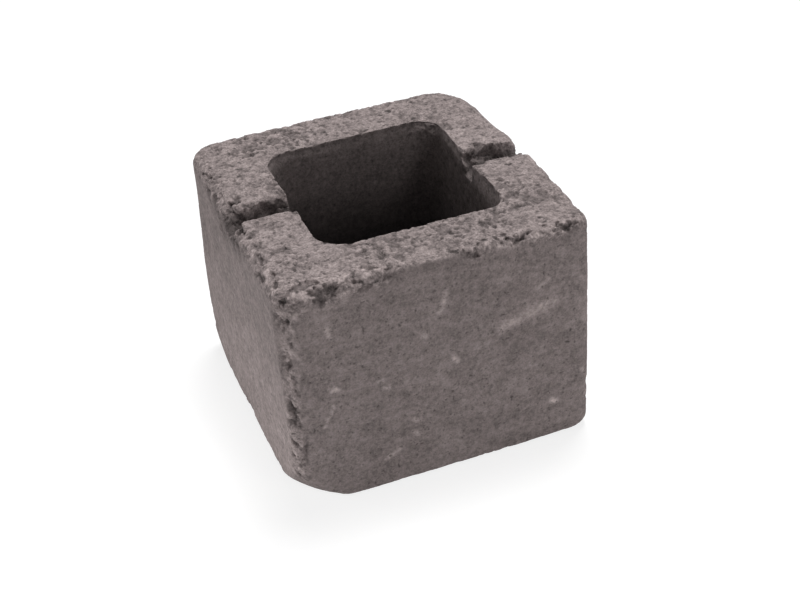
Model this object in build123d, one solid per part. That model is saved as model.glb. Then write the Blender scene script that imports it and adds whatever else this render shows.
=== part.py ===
from build123d import *

import os

# Hollow concrete fence block: one dry-cast, tumbled piece with a tapered core and a bar groove
# Millimetres, +Z up, the origin at the middle of the bottom bed, -Y towards the front face

# Outer block
block_length = 200.0  # along X, across the front face
block_depth = 200.0  # along Y, front to back
block_height = 160.0  # along Z, one course without its joint

# Arrises, all rounded in the tumbling drum
front_arris_radius = 7.0  # the two upright arrises beside the front face
back_arris_radius = 5.0  # the two behind
bed_arris_radius = 3.2  # round the top and bottom beds

# Core, open at both ends and narrower at the bottom so that the former lifts out
face_wall = 39.0  # front and back walls at the top, before the offset
side_wall = 41.0  # left and right walls at the top, before the offset
core_offset = (1.8, 1.0)  # the former stood a little off the middle of the mould
core_draft = 3.0  # how much each wall thickens from top to bottom
core_corner_radii = {"left front": 22.0, "right front": 10.0, "left back": 16.0, "right back": 18.0}
mouth_chamfer = 1.0  # broken arris all round the mouth
mouth_chamfer_depth = 1.5

# Groove across both side walls, for a horizontal bar
groove_floor_width = 11.0
groove_wall_lean = 1.5  # each wall of the groove leans out by this much
groove_depth = 14.0
groove_floor_radius = 3.0
groove_lip_radius = 2.0

# The groove's left end is broken out to a bowl, part of a ball centred outside the arris
break_radius = 20.0
break_centre = (-10.0, 2.0, 6.0)  # out from the left face, back from the groove, above the top bed

# Corners knocked off in the drum: how far the loss runs along X, Y and Z
corner_wear = {
    "left front bottom": (35.5, 50.0, 34.5),
    "right front bottom": (17.0, 15.0, 11.0),
    "left back bottom": (30.0, 46.0, 20.0),
    "right back bottom": (22.0, 22.0, 22.0),
    "left front top": (18.0, 16.0, 18.0),
    "right front top": (9.0, 10.0, 9.0),
    "left back top": (11.0, 12.0, 14.0),
    "right back top": (25.0, 53.0, 34.0),
}

# How full a worn corner stays: the greater, the nearer its ball comes to a flat cut
ball_fullness = 2.4

# Arrises worn flatter along a stretch: the middle and length of the stretch, and depth below the rounding
arris_wear = (
    ("left top", -10.0, 230.0, 3.8),
    ("front top", -68.0, 56.0, 2.4),
    ("front top", 56.0, 60.0, 2.0),
    ("right top", 62.0, 96.0, 5.2),
    ("right top", 9.0, 40.0, 2.4),
    ("left front", 136.0, 140.0, 4.5),
    ("left back", 136.0, 130.0, 7.5),
)

# How far a cutting solid reaches past the face that it opens
overshoot = 5.0


def tumbled_block():
    """The outer form, with rounded arrises and worn corners."""
    plan = Rectangle(block_length, block_depth)
    plan = fillet(plan.vertices().group_by(Axis.Y)[0], front_arris_radius)
    plan = fillet(plan.vertices().group_by(Axis.Y)[-1], back_arris_radius)
    block = extrude(plan, block_height)
    levels = block.edges().group_by(Axis.Z)
    block = fillet(levels[0] + levels[-1], bed_arris_radius)
    for name, wear in corner_wear.items():
        block -= corner_loss(name, wear)
    for name, middle, length, depth in arris_wear:
        block -= arris_loss(name, middle, length, depth)
    return block


def mirrored(depths, corner, inward):
    """The place that lies the given depths in from a corner along X, Y and Z."""
    return [c + d * i for c, d, i in zip(corner, depths, inward)]


def corner_loss(name, wear):
    """What the drum knocks off one corner: a small box there, less the ball that stays."""
    side, face, level = name.split()
    corner = Vector(
        -block_length / 2 if side == "left" else block_length / 2,
        -block_depth / 2 if face == "front" else block_depth / 2,
        0 if level == "bottom" else block_height,
    )
    inward = Vector(
        1 if side == "left" else -1,
        1 if face == "front" else -1,
        1 if level == "bottom" else -1,
    )
    # The ball passes through the three points where the loss ends on the arrises
    along_x, along_y, along_z = wear
    mean_square = (along_x * along_y * along_z) ** (2 / 3)
    depths = [(along + ball_fullness * mean_square / along) / 2 for along in wear]
    ball_radius = Vector(depths[0] - along_x, depths[1], depths[2]).length
    ball = Pos(*mirrored(depths, corner, inward)) * Sphere(ball_radius)
    sides = [along + overshoot for along in wear]
    middles = [side / 2 - overshoot for side in sides]
    return Pos(*mirrored(middles, corner, inward)) * Box(*sides) - ball


def arris_loss(name, middle, length, depth):
    """A wide ball that dips into one arris: depth at the middle of the stretch, nothing at its ends."""
    right = block_length / 2
    back = block_depth / 2
    places = {
        "left top": (Vector(-right, middle, block_height), Vector(-1, 0, 1)),
        "right top": (Vector(right, middle, block_height), Vector(1, 0, 1)),
        "front top": (Vector(middle, -back, block_height), Vector(0, -1, 1)),
        "left front": (Vector(-right, -back, middle), Vector(-1, -1, 0)),
        "left back": (Vector(-right, back, middle), Vector(-1, 1, 0)),
    }
    place, outward = places[name]
    upright_radii = {"left front": front_arris_radius, "left back": back_arris_radius}
    radius = upright_radii.get(name, bed_arris_radius)
    # The rounding has already taken this much off the sharp arris
    rounding = (2**0.5 - 1) * radius
    ball_radius = ((length / 2) ** 2 + depth**2) / (2 * depth)
    return Pos(place + outward.normalized() * (ball_radius - depth - rounding)) * Sphere(ball_radius)


def core_section(height, chamfer=0.0):
    """The core's rounded rectangle at one height."""
    narrowing = core_draft * (1 - height / block_height)
    length = block_length - 2 * (side_wall + narrowing - chamfer)
    depth = block_depth - 2 * (face_wall + narrowing - chamfer)
    section = Rectangle(length, depth)
    for name, radius in core_corner_radii.items():
        side = -1 if "left" in name else 1
        face = -1 if "front" in name else 1
        corner = section.vertices().sort_by(lambda v: side * v.X + face * v.Y)[-1]
        section = fillet(corner, radius)
    return Plane.XY.offset(height) * Pos(*core_offset) * section


def core():
    """The void through the block: a drafted shaft and a broken arris round its mouth."""
    sections = [
        core_section(0),
        core_section(block_height - mouth_chamfer_depth),
        core_section(block_height, mouth_chamfer),
    ]
    shaft, arris = (loft(pair, ruled=True) for pair in zip(sections, sections[1:]))
    return shaft + arris


def bar_groove():
    """A round-bottomed slot along X at mid-depth, cut through both side walls, with rounded lips."""
    half_floor = groove_floor_width / 2
    half_mouth = half_floor + groove_wall_lean
    half_sky = half_mouth + 2 * groove_lip_radius
    floor = block_height - groove_depth
    sky = block_height + overshoot
    profile = Plane.YZ * make_face(
        Polyline(
            (-half_floor, floor),
            (half_floor, floor),
            (half_mouth, block_height),
            (half_sky, block_height),
            (half_sky, sky),
            (-half_sky, sky),
            (-half_sky, block_height),
            (-half_mouth, block_height),
            close=True,
        )
    )
    floor_corners = profile.vertices().group_by(Axis.Z)[0]
    profile = fillet(floor_corners, groove_floor_radius)
    top_corners = profile.vertices().group_by(Axis.Z)[-2]
    profile = fillet(top_corners.sort_by(lambda v: abs(v.Y))[:2], groove_lip_radius)
    return extrude(profile, block_length / 2 + overshoot, both=True)


def groove_break():
    """The bowl broken out of the groove's left end."""
    out, back, above = break_centre
    return Pos(out - block_length / 2, back, above + block_height) * Sphere(break_radius)


def fence_block():
    return tumbled_block() - core() - bar_groove() - groove_break()


os.makedirs("parts", exist_ok=True)
export_step(fence_block(), "parts/fence_block.step")
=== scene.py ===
import math

import bmesh
import bpy
import numpy as np
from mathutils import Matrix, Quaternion, Vector, noise


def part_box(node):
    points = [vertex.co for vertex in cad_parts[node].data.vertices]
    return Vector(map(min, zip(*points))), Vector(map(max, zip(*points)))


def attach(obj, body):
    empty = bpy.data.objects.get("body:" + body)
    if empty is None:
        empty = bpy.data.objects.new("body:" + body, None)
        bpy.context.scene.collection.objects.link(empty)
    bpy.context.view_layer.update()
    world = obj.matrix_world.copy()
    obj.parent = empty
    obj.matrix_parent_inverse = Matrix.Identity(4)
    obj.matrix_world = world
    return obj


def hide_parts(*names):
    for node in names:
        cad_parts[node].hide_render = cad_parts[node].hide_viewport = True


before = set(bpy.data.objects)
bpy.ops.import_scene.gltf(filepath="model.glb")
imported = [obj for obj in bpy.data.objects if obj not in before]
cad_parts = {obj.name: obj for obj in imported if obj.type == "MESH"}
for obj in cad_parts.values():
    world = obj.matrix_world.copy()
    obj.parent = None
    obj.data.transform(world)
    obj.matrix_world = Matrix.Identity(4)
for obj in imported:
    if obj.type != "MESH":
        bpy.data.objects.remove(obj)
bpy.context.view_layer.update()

# Sizes are in millimetres, apart from those of the camera, lamps and floor, which are in the frame's metres
MM = 0.001

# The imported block, and the mouth of its core and its bar groove as they are in the solid
NODE = "fence_block"
LOW, HIGH = (np.array(corner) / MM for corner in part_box(NODE))
MOUTH_CENTRE = np.array((1.8, 1.0))
MOUTH_HALF = np.array((60.0, 62.0))
MOUTH_RADIUS = 17.0
GROOVE_HALF_WIDTH = 8.5
GROOVE_DEPTH = 14.0

# Density of the mesh
VOXEL = 0.8
WELD = 0.01
MOST_TRIANGLES = 196000

# Relaxing of the mesh: the share of the way to the neighbours' mean, and how often it is gone
RELAX_SHARE = 0.5
EVEN_ROUNDS = 4
WEAR_ROUNDS = 60

# Arrises that the drum left crumbly: start, end and reach
WORN_ARRISES = (
    ((-97, -97, 157), (-97, 80, 157), 11),
    ((-97, -97, 157), (-40, -98, 158), 16),
    ((25, -98, 158), (85, -98, 158), 10),
    ((-97, -97, 20), (-97, -97, 157), 8),
)

# The corner that has crumbled furthest: start, end and reach, and how much wider the wear is there
WORST_CORNER = ((-92, -96, 150), (-62, -98, 154), 14)
WORST_CORNER_WIDENING = 8.0

# Where the groove's left end is broken out: start, end and reach
BROKEN_END = ((-95, -8, 153), (-95, 22, 153), 13)

# Bands over which an effect grows are written as the distances where it starts and where it is full

# Wear of the arrises: on any arris, how it varies, on the worst ones, and how ragged its border is
LEAST_WEAR = 0.05
WEAR_VARIES = 0.3
WORST_WEAR = 1.2
RAGGED = 4.0
ARRIS_BAND = (12.0, 3.0)
CORNER_BAND = (46.0, 20.0)

# The groove's lips and back wall: reach of the crumbled lips, and how far the wall has gone back
BACK_LIP_REACH = 6.0
FRONT_LIP_REACH = 5.0
LEFT_BAND = (0.0, -20.0)
LIP_END_BAND = (-1.0, 3.0)
WALL_LOSS = 4.0
WALL_LOSS_VARIES = 5.0
WALL_BACK_BAND = (20.0, GROOVE_HALF_WIDTH)
WALL_FRONT_BAND = (2.0, 7.0)
WALL_DEPTH_BAND = (16.0, 6.0)

# The core's wall stands back below its rim: how far at most, at what depths and how far from the groove
RIM_SETBACK = 1.2
RIM_DEPTH_BAND = (9.0, 1.5)
RIM_GROOVE_BAND = (GROOVE_HALF_WIDTH + 8.0, GROOVE_HALF_WIDTH + 14.0)
LEAST_LEVEL = 0.2

# How near a face has to be to turn the direction in which chips go
OUTWARD_REACH = 10.0

# Where each kind of surface begins: top bed, groove, core and the painted shade down in the groove
TOP_TILT_BAND = (0.35, 0.8)
TOP_DEPTH_BAND = (12.0, 5.0)
GROOVE_WIDTH_BAND = (GROOVE_HALF_WIDTH + 3.0, GROOVE_HALF_WIDTH)
GROOVE_DEPTH_BAND = (GROOVE_DEPTH + 3.0, GROOVE_DEPTH)
GROOVE_END_BAND = (-4.0, 0.0)
CORE_BAND = (1.0, -1.0)
CORE_DEPTH_BAND = (0.0, 1.6)
GROOVE_SHADE_DEPTH_BAND = (1.0, 12.0)

# Layers of noise in the relief: width of the largest lumps, seed and octaves
WEAR_PATCHES = (34.0, 1, 3)
RAGGED_BORDER = (11.0, 11, 3)
CRUMBLED_WALL = (16.0, 13, 3)
GATHERING = (26.0, 9, 1)
PITS = (3.6, 2, 3)
HOLLOWS = (7.0, 12, 3)
LUMPS = (14.0, 4, 2)
PORES = (2.6, 5, 2)
SKIN = (2.0, 6, 2)
BOW = (80.0, 7, 2)
CHIPS = (9.0, 8, 4)

# Packed grains: width and seed
GRAINS = (2.6, 3)

# Steps through the noise that keep the seeds apart
NOISE_STEP = np.array((17.3, 31.7, 11.9))
GRAIN_STEP = np.array((13.1, 29.3, 7.7))

# Depths of the relief
PIT_DEPTH = 1.1
HOLLOW_DEPTH = 0.8
GRAIN_DEPTH = 0.4
LUMP_DEPTH = 0.25
PORE_DEPTH = 0.5
SKIN_DEPTH = 0.1
BOW_DEPTH = 0.25
CHIP_DEPTH = 2.6

# A length below which a direction is left as it is
TINY = 1e-6

# Widths of the lumps in the colour's noise, from fine to broad
SAND_WIDTH = 1.2
STONE_WIDTH = 1.3
PINHOLE_WIDTH = 1.8
SPOT_WIDTH = 2.8
GAP_SHADE_WIDTH = 4.0
DAPPLE_WIDTH = 6.0
BRIGHT_WIDTH = 7.0
BLOTCH_WIDTH = 8.0
LOOSE_WIDTH = 12.0
CLOUD_WIDTH = 15.0
MOTTLE_WIDTH = 60.0

# Cement paste, from its darker to its lighter patches
DARK_PASTE = (0.228, 0.190, 0.184, 1)
LIGHT_PASTE = (0.272, 0.229, 0.224, 1)

# Light scuffs on the front face: start and end as (x, z), half width and strength
FRONT_SCUFFS = (
    ((0, 121), (4, 135), 2.2, 0.5),
    ((40, 98), (74, 107), 4.5, 0.55),
    ((70, 101), (84, 108), 2.5, 0.2),
    ((64, 120), (71, 124), 2.0, 0.4),
    ((-12, 107), (-11, 106), 2.0, 0.5),
    ((7, 86), (9, 82), 2.0, 0.6),
    ((73, 30), (75, 29), 2.2, 1.0),
    ((93, 49), (94, 47), 2.0, 0.5),
    ((-21, 47), (-18, 45), 2.0, 0.5),
    ((-23, 38), (-20, 35), 1.8, 0.5),
    ((-71, 131), (-70, 125), 2.0, 0.5),
    ((-72, 87), (-68, 85), 2.0, 0.8),
    ((-39, 77), (-36, 77), 1.8, 0.7),
    ((-43, 83), (-39, 83), 1.8, 0.5),
    ((-79, 60), (-72, 73), 1.8, 0.4),
    ((-41, 22), (-33, 26), 1.8, 0.7),
)
SCUFF_LIFT = 1.15
SCUFF_WOBBLE = 4.0

# A colour belongs to an outer face within the first of these distances, and has faded out at the second
FRONT_SKIN = (2.0, 3.0)
LEFT_SKIN = (2.0, 4.0)

# The left face is painted lighter at its foot and darker higher up, as painted light and shade, and the core
# is painted with shade that darkens downwards: heights, and tones at those heights
PAINTED_LEFT_LIGHT_HEIGHTS = (30.0, 110.0)
PAINTED_LEFT_LIGHT_TONES = (1.03, 0.80)
CORE_SHADE_HEIGHTS = (72.0, 150.0)
CORE_SHADE_TONES = (0.03, 0.92)

# Faint slanted streaks: width, slant, scale of their noise along X, Y and Z, and tones
STREAK_WIDTH = 5.0
STREAK_SLANT = math.radians(28.0)
STREAK_SCALE = (0.14, 1.0, 1.0)
STREAK_TONES = (0.94, 1.09)

# The finest tooth of the surface, which is bump alone
TOOTH_DEPTH = 0.5

# Lamps, in metres and watts: name, place, aim, width, height and power
SOFTBOXES = (
    ("above", (0.35, 0.40, 2.2), (0, 0, 0.1), 0.8, 0.8, 42),
    ("left", (-0.40, -0.10, 0.03), (-0.1, -0.05, 0.03), 0.36, 0.06, 0.70),
    ("behind", (-1.3, 0.93, 0.32), (0, 0, 0.15), 0.4, 0.05, 3.4),
    ("front", (0.75, -1.0, 0.11), (0.05, -0.1, 0.1), 0.8, 0.1, 4.3),
    ("fill", (0.45, -1.55, 0.86), (0, 0, 0.15), 0.4, 0.5, 3.2),
)

# White surround: its light on the block, and as it is seen
WHITE = (1, 1, 1, 1)
SURROUND_LIGHT = 0.10
SURROUND_SEEN = 1.0

# Floor, in metres: half its width, and how far it lies below the block
FLOOR_HALF = 4.0
FLOOR_GAP = 0.0002
FLOOR_COLOUR = (0.3, 0.3, 0.3, 1)
FLOOR_GLOW = 0.8

# Camera that matches the photograph's view, in metres, with its lens and sensor in millimetres
CAMERA_PLACE = Vector((-0.2704, -0.8299, 0.6659))
CAMERA_AIM = Vector((0.0057, -0.0082, 0.0713))
CAMERA_ROLL = math.radians(-4.23)
CAMERA_LENS = 71.70
CAMERA_SENSOR = 36.0
CAMERA_NEAREST = 0.01


def smoothstep(start, end, value):
    """0 at start and 1 at end, with a smooth rise between them."""
    share = np.clip((value - start) / (end - start), 0.0, 1.0)
    return share * share * (3.0 - 2.0 * share)


def bell(distance, reach):
    """1 at no distance, fading smoothly to nothing past reach."""
    return np.exp(-((distance / reach) ** 2))


def fractal(points, size, seed, octaves):
    """Noise about zero, one value a point: size is the width of its largest lumps."""
    places = (points / size + seed * NOISE_STEP).tolist()
    return np.array([noise.fractal(place, 1.0, 2.0, octaves) for place in places])


def cells(points, size, seed):
    """Distance to the nearest of scattered points about size apart, as a share of size."""
    places = (points / size + seed * GRAIN_STEP).tolist()
    return np.array([noise.voronoi(place)[0][0] for place in places])


def evaluated(thing):
    """The mesh of an object with its modifiers applied."""
    graph = bpy.context.evaluated_depsgraph_get()
    return bpy.data.meshes.new_from_object(thing.evaluated_get(graph))


def placed(name, data):
    """A new object in the scene."""
    thing = bpy.data.objects.new(name, data)
    bpy.context.scene.collection.objects.link(thing)
    return thing


def remeshed(node):
    """An even, closed mesh of small quads over a CAD node."""
    shape = bmesh.new()
    shape.from_mesh(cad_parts[node].data)
    bmesh.ops.remove_doubles(shape, verts=shape.verts, dist=WELD * MM)
    mesh = bpy.data.meshes.new("even")
    shape.to_mesh(mesh)
    shape.free()
    thing = placed("even", mesh)
    modifier = thing.modifiers.new("Remesh", "REMESH")
    modifier.mode = "VOXEL"
    modifier.voxel_size = VOXEL * MM
    result = evaluated(thing)
    bpy.data.objects.remove(thing)
    return result


def read(collection, name, width, kind=float):
    """One property of everything in a mesh collection, as rows of numbers."""
    values = np.empty(len(collection) * width, kind)
    collection.foreach_get(name, values)
    return values.reshape(-1, width)


def relaxed(points, edges, strength, rounds):
    """Each point drawn towards the mean of its neighbours, by its own strength."""
    first, second = edges.T
    count = np.bincount(edges.ravel(), minlength=len(points))
    for _ in range(rounds):
        mean = np.empty_like(points)
        for axis in range(3):
            values = points[:, axis]
            mean[:, axis] = np.bincount(first, values[second], len(points))
            mean[:, axis] += np.bincount(second, values[first], len(points))
        mean /= count[:, None]
        points = points + strength[:, None] * (mean - points)
    return points


def face_distances(points):
    """Distances from the outer faces, nearest first: the second is from the nearest arris."""
    return np.sort(np.hstack((points - LOW, HIGH - points)), axis=1)


def below_top(points):
    """How far each point lies below the top bed."""
    return HIGH[2] - points[:, 2]


def mouth_distance(points):
    """How far each point lies outside the outline of the core's mouth, seen from above."""
    corner = np.abs(points[:, :2] - MOUTH_CENTRE) - (MOUTH_HALF - MOUTH_RADIUS)
    outside = np.linalg.norm(np.maximum(corner, 0.0), axis=1)
    return outside + np.minimum(corner.max(axis=1), 0.0) - MOUTH_RADIUS


def near_line(points, start, end, reach):
    """1 on a line between two places, fading smoothly to nothing past reach."""
    start = np.array(start, float)
    along = np.array(end, float) - start
    share = np.clip((points - start) @ along / (along @ along), 0.0, 1.0)
    return bell(np.linalg.norm(points - start - share[:, None] * along, axis=1), reach)


def arris_wear(points):
    """Share of wear at each point, from 0 on the faces to 1 on the worst arrises."""
    share = LEAST_WEAR + WEAR_VARIES * np.clip(0.5 + fractal(points, *WEAR_PATCHES), 0.0, 1.0)
    for arris in WORN_ARRISES:
        share = np.maximum(share, WORST_WEAR * near_line(points, *arris))
    from_arris = face_distances(points)[:, 1] + RAGGED * fractal(points, *RAGGED_BORDER)
    from_arris -= WORST_CORNER_WIDENING * near_line(points, *WORST_CORNER)
    return smoothstep(*ARRIS_BAND, from_arris) * np.clip(share, 0.0, 1.0)


def groove_lip(points):
    """1 along the groove's crumbled lips: the back one, and the front one on the left."""
    across = points[:, 1]
    from_top = below_top(points)
    back = bell(np.hypot(across - GROOVE_HALF_WIDTH, from_top), BACK_LIP_REACH)
    front = bell(np.hypot(across + GROOVE_HALF_WIDTH, from_top), FRONT_LIP_REACH)
    front *= smoothstep(*LEFT_BAND, points[:, 0])
    return np.maximum(back, front) * smoothstep(*LIP_END_BAND, mouth_distance(points))


def crumbled_back(points):
    """How far each point moves where the groove's back wall has crumbled away."""
    back = points[:, 1]
    amount = WALL_LOSS + WALL_LOSS_VARIES * fractal(points, *CRUMBLED_WALL)
    amount *= smoothstep(*WALL_BACK_BAND, back) * smoothstep(*WALL_FRONT_BAND, back)
    amount *= smoothstep(*WALL_DEPTH_BAND, below_top(points))
    return np.maximum(amount, 0.0)[:, None] * np.array((0.0, 1.0, 0.0))


def outward(points):
    """A direction out of the block that turns slowly from face to face."""
    away = bell(HIGH - points, OUTWARD_REACH) - bell(points - LOW, OUTWARD_REACH)
    return away / np.maximum(np.linalg.norm(away, axis=1), TINY)[:, None]


def sharp_rim(points, normals):
    """How far each point moves so that the core's wall stands upright below its rim, clear of the groove."""
    level = normals * (1.0, 1.0, 0.0)
    level /= np.maximum(np.linalg.norm(level, axis=1), LEAST_LEVEL)[:, None]
    setback = np.clip(-mouth_distance(points), 0.0, RIM_SETBACK)
    setback *= smoothstep(*RIM_DEPTH_BAND, below_top(points))
    setback *= smoothstep(*RIM_GROOVE_BAND, np.abs(points[:, 1]))
    return -level * setback[:, None]


def block_relief(points, normals, wear, across):
    """How far each point goes in, in fine and in large, what the material has to know, and what stays dense.

    across is each point's distance from the groove's middle before the wall crumbled.
    """
    from_mouth = mouth_distance(points)
    from_top = below_top(points)

    # Where the open grain shows: top bed, groove, worn arrises, the broken end and, less, the core
    top = smoothstep(*TOP_TILT_BAND, normals[:, 2]) * smoothstep(*TOP_DEPTH_BAND, from_top)
    in_groove = smoothstep(*GROOVE_WIDTH_BAND, across)
    in_groove *= smoothstep(*GROOVE_DEPTH_BAND, from_top) * smoothstep(*GROOVE_END_BAND, from_mouth)
    core = smoothstep(*CORE_BAND, from_mouth) * smoothstep(*CORE_DEPTH_BAND, from_top)
    broken = np.minimum(1.3 * near_line(points, *BROKEN_END), 1.0)
    open_grain = np.maximum.reduce((top, in_groove, wear, broken, 0.4 * core))

    # Open grain: pits and hollows between grains, the grains themselves and broad lumps
    gathered = smoothstep(-0.3, 0.5, fractal(points, *GATHERING))
    pits = smoothstep(0.15, 0.5, fractal(points, *PITS)) * (0.4 + 0.6 * gathered)
    hollows = smoothstep(0.05, 0.4, fractal(points, *HOLLOWS)) * (0.15 + 0.85 * gathered)
    grains = np.clip(cells(points, *GRAINS), 0.0, 1.0)
    lumps = 0.5 + 0.5 * fractal(points, *LUMPS)
    coarse = PIT_DEPTH * pits + HOLLOW_DEPTH * hollows + GRAIN_DEPTH * grains + LUMP_DEPTH * lumps

    # Moulded faces: a fine skin with few pores, and a slow bow
    pores = smoothstep(0.5, 0.7, fractal(points, *PORES))
    skin = 0.5 + 0.5 * fractal(points, *SKIN)
    bow = 0.5 + 0.5 * fractal(points, *BOW)
    fine = PORE_DEPTH * pores + SKIN_DEPTH * skin + BOW_DEPTH * bow

    # Chips on worn arrises and in the groove, and painted shade down in the groove and at its broken end
    crumbly = np.maximum.reduce((wear, 0.8 * in_groove, 0.8 * groove_lip(points), 1.3 * broken))
    chips = smoothstep(0.0, 0.45, fractal(points, *CHIPS)) * crumbly
    groove_shade = np.maximum(in_groove, 0.6 * broken) * smoothstep(*GROOVE_SHADE_DEPTH_BAND, from_top)

    small = fine + open_grain * (coarse - fine)
    large = CHIP_DEPTH * chips
    # Painted shade in recesses: pits and hollows on open grain, pores on moulded faces, chips, and the
    # groove's depth
    dark = np.maximum(pits, 0.7 * hollows) * open_grain
    marks = {
        "open_grain": open_grain,
        "painted_recess_shade": np.clip(np.maximum.reduce((dark, pores * (1.0 - open_grain), chips, groove_shade)), 0.0, 1.0),
        "crumb": np.clip(1.0 - 1.6 * grains, 0.0, 1.0) * (1.0 - pits),
        "core": core,
        "worn": wear,
    }
    return small, large, marks, np.maximum(top, in_groove)


def lightened(mesh, kept):
    """The mesh with fewer triangles, which come off where kept is low."""
    dense = placed("dense", mesh)
    group = dense.vertex_groups.new(name="yields")
    group.add(np.flatnonzero(kept < 0.5).tolist(), 1.0, "REPLACE")
    modifier = dense.modifiers.new("Decimate", "DECIMATE")
    modifier.vertex_group = group.name
    modifier.ratio = MOST_TRIANGLES / sum(len(face.vertices) - 2 for face in mesh.polygons)
    result = evaluated(dense)
    bpy.data.objects.remove(dense)
    return result


def moved(mesh, points):
    """Puts the vertices of a mesh at new places."""
    mesh.vertices.foreach_set("co", (points * MM).ravel())
    mesh.update()


def block_body():
    """The block's own surface: the solid's form, worn, chipped and grained."""
    mesh = remeshed(NODE)
    edges = read(mesh.edges, "vertices", 2, np.int32)
    points = read(mesh.vertices, "co", 3) / MM
    points = relaxed(points, edges, np.full(len(points), RELAX_SHARE), EVEN_ROUNDS)
    wear = arris_wear(points)
    corner = smoothstep(*CORNER_BAND, face_distances(points)[:, 2])
    yielding = np.maximum.reduce((0.5 * wear, corner, 0.4 * groove_lip(points)))
    points = relaxed(points, edges, RELAX_SHARE * yielding, WEAR_ROUNDS)
    across = np.abs(points[:, 1])
    points = points + crumbled_back(points)
    moved(mesh, points)
    normals = read(mesh.vertex_normals, "vector", 3)
    small, large, marks, kept = block_relief(points, normals, wear, across)
    points = points + sharp_rim(points, normals)
    points = points - normals * small[:, None] - outward(points) * large[:, None]
    for name, values in marks.items():
        mesh.attributes.new(name, "FLOAT", "POINT").data.foreach_set("value", values)
    moved(mesh, np.clip(points, LOW, HIGH))
    mesh = lightened(mesh, kept)
    mesh.shade_smooth()
    mesh.materials.clear()
    mesh.materials.append(concrete())
    body = placed("block_body", mesh)
    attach(body, "root")
    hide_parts(NODE)


class Nodes:
    """A few words for building a node tree."""

    def __init__(self, tree):
        self.tree = tree
        tree.nodes.clear()

    def add(self, kind, settings=None, **inputs):
        node = self.tree.nodes.new(kind)
        for name, value in (settings or {}).items():
            setattr(node, name, value)
        for name, value in inputs.items():
            self.put(node.inputs[name.replace("_", " ")], value)
        return node

    def put(self, socket, value):
        if isinstance(value, bpy.types.NodeSocket):
            self.tree.links.new(value, socket)
        else:
            socket.default_value = value

    def math(self, operation, *values):
        node = self.add("ShaderNodeMath", {"operation": operation})
        for socket, value in zip(node.inputs, values):
            self.put(socket, value)
        return node.outputs[0]

    def times(self, *values):
        return self.math("MULTIPLY", *values)

    def vector(self, operation, *values):
        node = self.add("ShaderNodeVectorMath", {"operation": operation})
        sockets = (node.inputs[0], node.inputs["Scale"]) if operation == "SCALE" else node.inputs
        for socket, value in zip(sockets, values):
            self.put(socket, value)
        return node.outputs["Value" if operation in ("DOT_PRODUCT", "LENGTH") else "Vector"]

    def swing(self, tone, value, depth):
        """The tone, moved by how far value lies from its middle of one half."""
        return self.math("ADD", tone, self.times(self.math("SUBTRACT", value, 0.5), depth))

    def spread(self, value, low, high, to_low, to_high):
        """What runs from to_low to to_high while value runs from low to high."""
        node = self.add("ShaderNodeMapRange", {"clamp": True}, Value=value)
        for name, number in zip(("From Min", "From Max", "To Min", "To Max"), (low, high, to_low, to_high)):
            self.put(node.inputs[name], number)
        return node.outputs[0]

    def between(self, share, first, second):
        """The first where share is 0, the second where it is 1."""
        return self.spread(share, 0.0, 1.0, first, second)

    def attribute(self, name):
        return self.add("ShaderNodeAttribute", {"attribute_name": name}).outputs["Fac"]

    def noise(self, place, size, detail=2.0, roughness=0.5):
        """Noise from 0 to 1 with lumps about size millimetres wide."""
        scale = 1.0 / (size * MM)
        node = self.add("ShaderNodeTexNoise", Vector=place, Scale=scale, Detail=detail, Roughness=roughness)
        return node.outputs["Fac"]

    def stones(self, place, size):
        """A value from 0 to 1 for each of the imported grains, about size millimetres wide."""
        grains = self.add("ShaderNodeTexVoronoi", Vector=place, Scale=1.0 / (size * MM))
        return self.add("ShaderNodeSeparateColor", Color=grains.outputs["Color"]).outputs[0]

    def mix(self, share, first, second):
        """A colour between two colours, whose sockets on the node come after those for other types."""
        node = self.add("ShaderNodeMix", {"data_type": "RGBA"})
        for index, value in ((0, share), (6, first), (7, second)):
            self.put(node.inputs[index], value)
        return node.outputs[2]


def stroke(nodes, flat, start, end, half_width):
    """1 along a line on the front face, fading to 0 a little past half_width from it."""
    first = Vector((start[0], 0, start[1])) * MM
    along = Vector((end[0], 0, end[1])) * MM - first
    offset = nodes.vector("SUBTRACT", flat, first)
    share = nodes.vector("DOT_PRODUCT", offset, along / along.length_squared)
    share = nodes.between(share, 0.0, 1.0)
    reach = nodes.vector("SUBTRACT", offset, nodes.vector("SCALE", along, share))
    gap = nodes.vector("LENGTH", reach)
    return nodes.spread(gap, 0.2 * half_width * MM, 1.3 * half_width * MM, 1.0, 0.0)


def near_face(nodes, coordinate, face, skin):
    """1 in the skin of the left or front face, which lies at the coordinate face, and 0 further in."""
    full, none = skin
    return nodes.spread(coordinate, (face + none) * MM, (face + full) * MM, 0.0, 1.0)


def front_scuffs(nodes, place):
    """The rubbed marks on the front face, broken up by the grain."""
    wobble = nodes.add("ShaderNodeTexNoise", Vector=place, Scale=1.0 / (SCUFF_WOBBLE * MM)).outputs["Color"]
    wobble = nodes.vector("SCALE", nodes.vector("SUBTRACT", wobble, (0.5, 0.5, 0.5)), SCUFF_WOBBLE * MM)
    flat = nodes.vector("MULTIPLY", nodes.vector("ADD", place, wobble), (1, 0, 1))
    total = 0.0
    for start, end, half_width, strength in FRONT_SCUFFS:
        mark = nodes.times(stroke(nodes, flat, start, end, half_width), strength)
        total = nodes.math("MAXIMUM", total, mark)
    depth = nodes.add("ShaderNodeSeparateXYZ", Vector=place).outputs["Y"]
    return nodes.times(total, near_face(nodes, depth, LOW[1], FRONT_SKIN))


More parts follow.
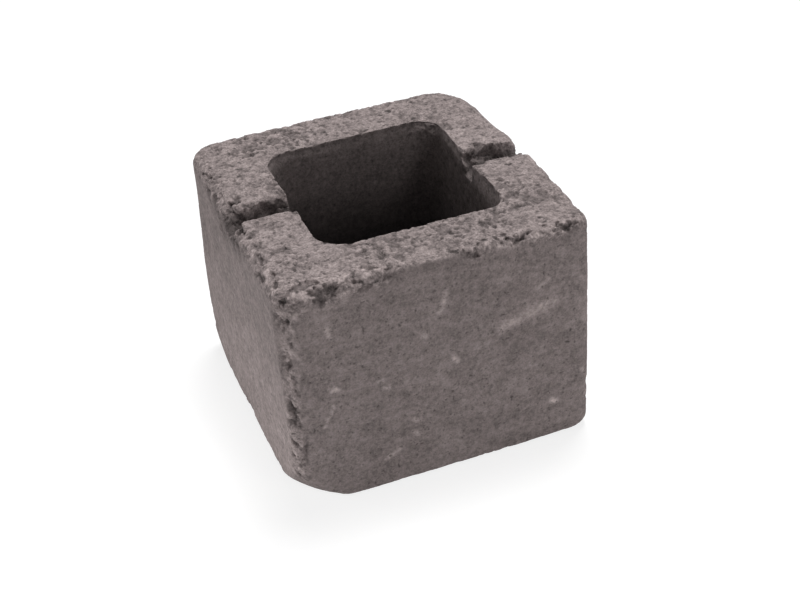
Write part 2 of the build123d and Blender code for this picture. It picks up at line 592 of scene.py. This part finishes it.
def painted_gap_shade(nodes, place, open_grain):
    """1 in the small gaps between loose grains, where the grain is open: painted shade in these gaps."""
    gap_shade = nodes.spread(nodes.noise(place, GAP_SHADE_WIDTH, detail=3.0), 0.57, 0.68, 0.0, 1.0)
    loose = nodes.spread(nodes.noise(place, LOOSE_WIDTH), 0.40, 0.6, 0.3, 1.0)
    return nodes.times(nodes.times(gap_shade, loose), open_grain)


def grain_tone_and_painted_shade(nodes, place, sand, spot, gap_shade):
    """Tone of the concrete's grain, about 1: strong on open grain and faint on moulded faces, with painted
    shade in the gaps between grains, in pinholes, and in pits, hollows, pores, chips and the groove's depth.
    """
    open_grain = nodes.attribute("open_grain")
    tone = nodes.swing(1.0, sand, nodes.between(open_grain, 0.95, 1.4))
    tone = nodes.swing(tone, spot, nodes.between(open_grain, 0.9, 1.1))
    tone = nodes.swing(tone, nodes.stones(place, STONE_WIDTH), nodes.between(open_grain, 0.12, 0.3))
    tone = nodes.swing(tone, nodes.noise(place, DAPPLE_WIDTH), 0.5)
    tone = nodes.swing(tone, nodes.noise(place, CLOUD_WIDTH, detail=3.0), 0.5)
    tone = nodes.math("MAXIMUM", tone, 0.25)
    # Painted shade in the gaps between loose grains
    tone = nodes.times(tone, nodes.between(gap_shade, 1.0, 0.5))

    # Darker blotches on open grain, brighter patches on worn arrises and painted shade in pinholes
    # everywhere
    blotch = nodes.noise(place, BLOTCH_WIDTH, detail=3.0, roughness=0.6)
    blotch = nodes.times(nodes.spread(blotch, 0.55, 0.66, 0.0, 1.0), open_grain)
    tone = nodes.times(tone, nodes.between(blotch, 1.04, 0.62))
    bright = nodes.spread(nodes.noise(place, BRIGHT_WIDTH), 0.48, 0.6, 0.0, 0.4)
    tone = nodes.times(tone, nodes.math("ADD", 1.0, nodes.times(bright, nodes.attribute("worn"))))
    # Painted shade in pinholes
    pinhole = nodes.noise(place, PINHOLE_WIDTH, detail=1.0)
    tone = nodes.times(tone, nodes.spread(pinhole, 0.70, 0.76, 1.0, 0.65))

    # Crumbs stand out lighter, and pits, hollows, pores, chips and the groove's depth darker, as painted
    # shade
    crumbs = nodes.times(nodes.attribute("crumb"), open_grain)
    tone = nodes.times(tone, nodes.math("ADD", 1.0, nodes.times(crumbs, 0.3)))
    tone = nodes.times(tone, nodes.between(open_grain, 1.0, 1.1))
    return nodes.times(tone, nodes.between(nodes.attribute("painted_recess_shade"), 1.0, 0.38))


def marks_and_painted_shade(nodes, place, tone):
    """The tone with rubbed marks and streaks, with the left face painted lighter at its foot and darker
    higher up as painted light and shade, and with painted shade darkening the core downwards.
    """
    parts = nodes.add("ShaderNodeSeparateXYZ", Vector=place)
    height = parts.outputs["Z"]
    # Painted light and shade: the left face lighter at its foot and darker higher up
    low, high = (level * MM for level in PAINTED_LEFT_LIGHT_HEIGHTS)
    painted_left_light = nodes.spread(height, low, high, *PAINTED_LEFT_LIGHT_TONES)
    on_left = near_face(nodes, parts.outputs["X"], LOW[0], LEFT_SKIN)
    tone = nodes.times(tone, nodes.between(on_left, 1.0, painted_left_light))
    # Painted shade: the core's walls darken downwards to a few hundredths of their tone
    low, high = (level * MM for level in CORE_SHADE_HEIGHTS)
    painted_core_shade = nodes.spread(height, low, high, *CORE_SHADE_TONES)
    tone = nodes.times(tone, nodes.between(nodes.attribute("core"), 1.0, painted_core_shade))
    rubbed = nodes.times(front_scuffs(nodes, place), SCUFF_LIFT)
    tone = nodes.times(tone, nodes.math("ADD", 1.0, rubbed))
    turn = (0.0, STREAK_SLANT, 0.0)
    slanted = nodes.add("ShaderNodeMapping", Vector=place, Rotation=turn, Scale=STREAK_SCALE)
    streak = nodes.noise(slanted.outputs[0], STREAK_WIDTH)
    return nodes.times(tone, nodes.spread(streak, 0.35, 0.7, *STREAK_TONES))


def concrete():
    """Warm grey concrete: grains, pores, slow mottling, rubbed marks and a fine tooth, with painted shade in
    gaps, pinholes, pits and down the core, and painted light at the left face's foot.
    """
    material = bpy.data.materials.new("concrete")
    material.use_nodes = True
    nodes = Nodes(material.node_tree)
    place = nodes.add("ShaderNodeTexCoord").outputs["Object"]
    open_grain = nodes.attribute("open_grain")
    sand = nodes.noise(place, SAND_WIDTH, roughness=0.6)
    spot = nodes.noise(place, SPOT_WIDTH)
    gap_shade = painted_gap_shade(nodes, place, open_grain)
    paste = nodes.mix(nodes.noise(place, MOTTLE_WIDTH, detail=3.0), DARK_PASTE, LIGHT_PASTE)
    tone = marks_and_painted_shade(nodes, place, grain_tone_and_painted_shade(nodes, place, sand, spot, gap_shade))
    colour = nodes.vector("SCALE", paste, tone)

    tooth = nodes.math("ADD", sand, nodes.times(spot, 1.5))
    tooth = nodes.math("SUBTRACT", tooth, nodes.times(gap_shade, 0.8))
    strength = nodes.between(open_grain, 0.3, 0.9)
    bump = nodes.add("ShaderNodeBump", Distance=TOOTH_DEPTH * MM, Height=tooth, Strength=strength)
    shader = nodes.add("ShaderNodeBsdfPrincipled", Base_Color=colour, Normal=bump.outputs[0])
    nodes.put(shader.inputs["Roughness"], nodes.spread(sand, 0.2, 0.8, 0.86, 0.98))
    shader.inputs["Specular IOR Level"].default_value = 0.25
    nodes.add("ShaderNodeOutputMaterial", Surface=shader.outputs[0])
    return material


def seen_directly(nodes):
    """1 for a ray that shows the background itself, and 0 for light on its way to the block."""
    path = nodes.add("ShaderNodeLightPath")
    seen = nodes.math("MAXIMUM", path.outputs["Is Camera Ray"], path.outputs["Is Glossy Ray"])
    return nodes.math("MAXIMUM", seen, path.outputs["Is Transmission Ray"])


def floor():
    """A pale floor that shows white and keeps a soft shadow."""
    mesh = bpy.data.meshes.new("floor")
    level = LOW[2] * MM - FLOOR_GAP
    signs = ((-1, -1), (1, -1), (1, 1), (-1, 1))
    corners = [(x * FLOOR_HALF, y * FLOOR_HALF, level) for x, y in signs]
    mesh.from_pydata(corners, [], [(0, 1, 2, 3)])
    plane = placed("floor", mesh)
    material = bpy.data.materials.new("pale_floor")
    material.use_nodes = True
    nodes = Nodes(material.node_tree)
    pale = nodes.add("ShaderNodeBsdfDiffuse", Color=FLOOR_COLOUR)
    strength = nodes.times(seen_directly(nodes), FLOOR_GLOW)
    glow = nodes.add("ShaderNodeEmission", Color=WHITE, Strength=strength)
    both = nodes.add("ShaderNodeAddShader")
    nodes.put(both.inputs[0], pale.outputs[0])
    nodes.put(both.inputs[1], glow.outputs[0])
    nodes.add("ShaderNodeOutputMaterial", Surface=both.outputs[0])
    mesh.materials.append(material)


def turned_to(thing, place, aim):
    """Puts a lamp or camera at a place and turns it to an aim."""
    thing.location = place
    thing.rotation_mode = "QUATERNION"
    thing.rotation_quaternion = (Vector(aim) - Vector(place)).to_track_quat("-Z", "Y")


def softbox(name, place, aim, width, height, power):
    """One soft lamp."""
    lamp = bpy.data.lights.new(name, "AREA")
    lamp.shape = "RECTANGLE"
    lamp.size = width
    lamp.size_y = height
    lamp.energy = power
    turned_to(placed(name, lamp), place, aim)


def studio():
    """Soft lamps above, low on the left, behind on the left and in front, with a plain white surround."""
    for box in SOFTBOXES:
        softbox(*box)
    world = bpy.data.worlds.new("surround")
    bpy.context.scene.world = world
    world.use_nodes = True
    nodes = Nodes(world.node_tree)
    strength = nodes.between(seen_directly(nodes), SURROUND_LIGHT, SURROUND_SEEN)
    backdrop = nodes.add("ShaderNodeBackground", Color=WHITE, Strength=strength)
    nodes.add("ShaderNodeOutputWorld", Surface=backdrop.outputs[0])


def camera():
    """The photograph's view, with its slight roll."""
    lens = bpy.data.cameras.new("camera")
    lens.sensor_width = CAMERA_SENSOR
    lens.lens = CAMERA_LENS
    lens.clip_start = CAMERA_NEAREST
    thing = placed("camera", lens)
    turned_to(thing, CAMERA_PLACE, CAMERA_AIM)
    thing.rotation_quaternion @= Quaternion((0, 0, 1), CAMERA_ROLL)
    bpy.context.scene.camera = thing


block_body()
floor()
studio()
camera()
bpy.context.scene.view_settings.view_transform = "Standard"
